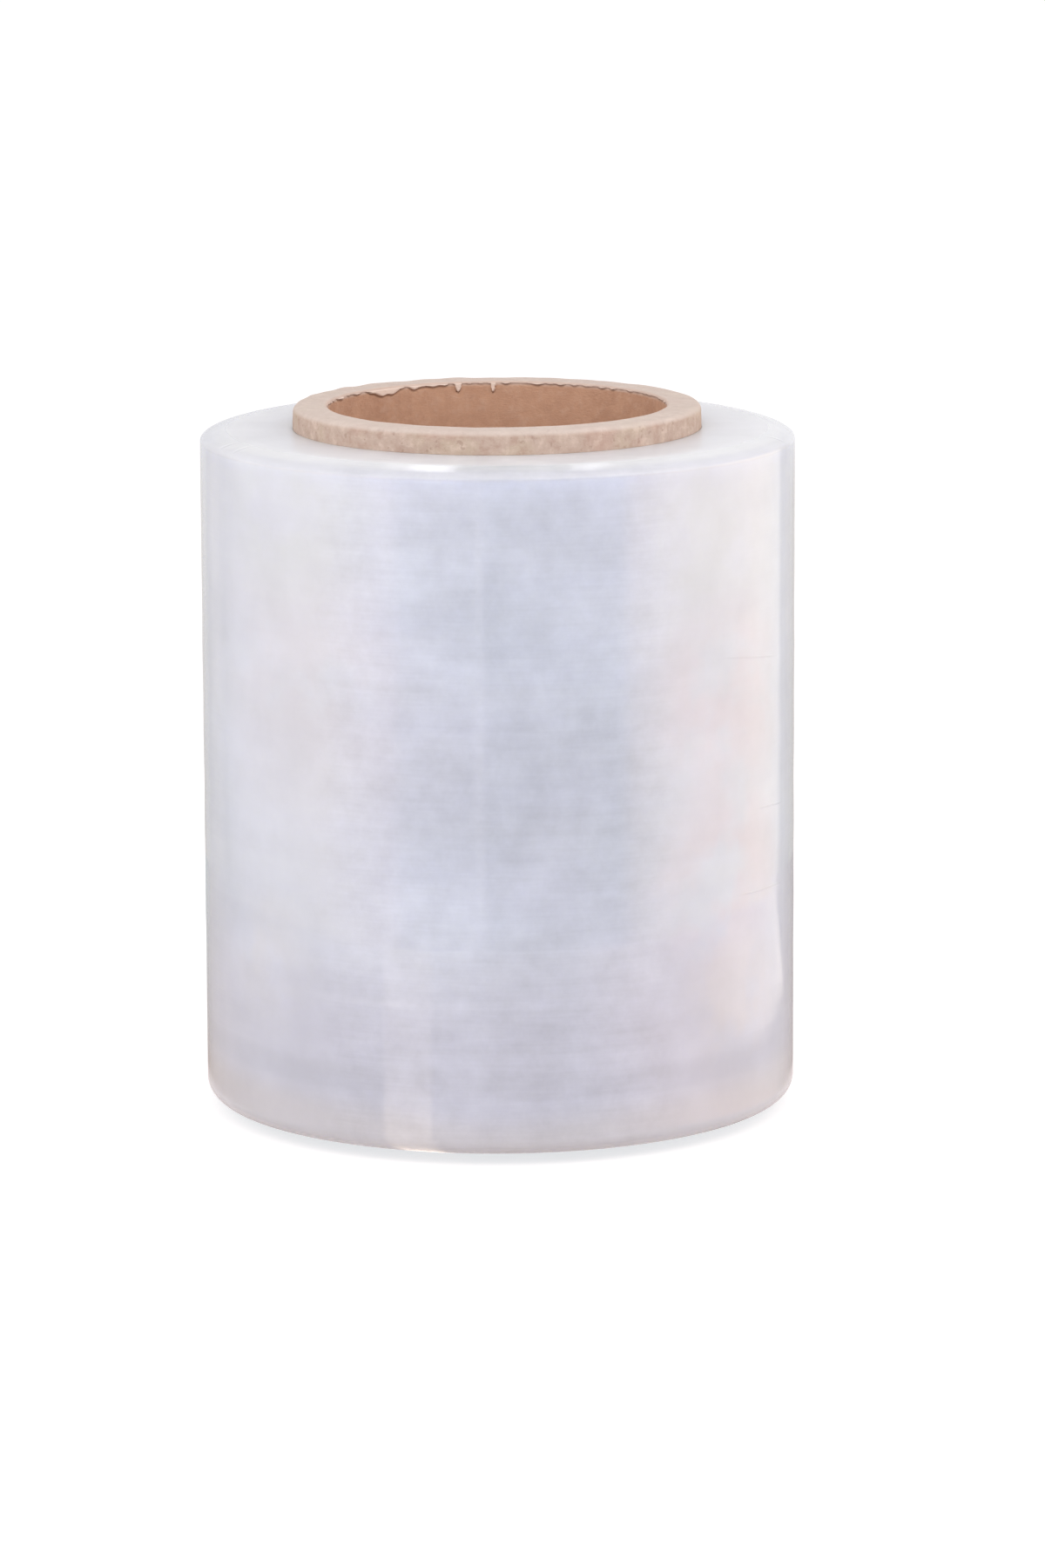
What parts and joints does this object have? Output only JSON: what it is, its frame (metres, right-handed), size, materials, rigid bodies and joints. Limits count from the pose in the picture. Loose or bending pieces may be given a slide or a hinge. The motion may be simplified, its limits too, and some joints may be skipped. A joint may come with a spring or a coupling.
{
  "type": "stretch wrap roll",
  "caption": "Short wide roll of clear stretch film wound on a brown paper tube that stands proud of the film at both ends.",
  "frame": {"origin": "centre of the paper tube's foot, on the surface that the roll stands on", "axes": "+Z along the tube, from its foot to its head; -Y towards the front"},
  "size_m": [0.1336, 0.1335, 0.16],
  "materials": {
    "paper_tube": "matt spiral-wound brown board with cut ends",
    "stretch_film": "glossy milky film, wound tight"
  },
  "bodies": {
    "root": {"paper_tube": "paper_tube", "film_roll": "stretch_film"}
  },
  "joints": []
}
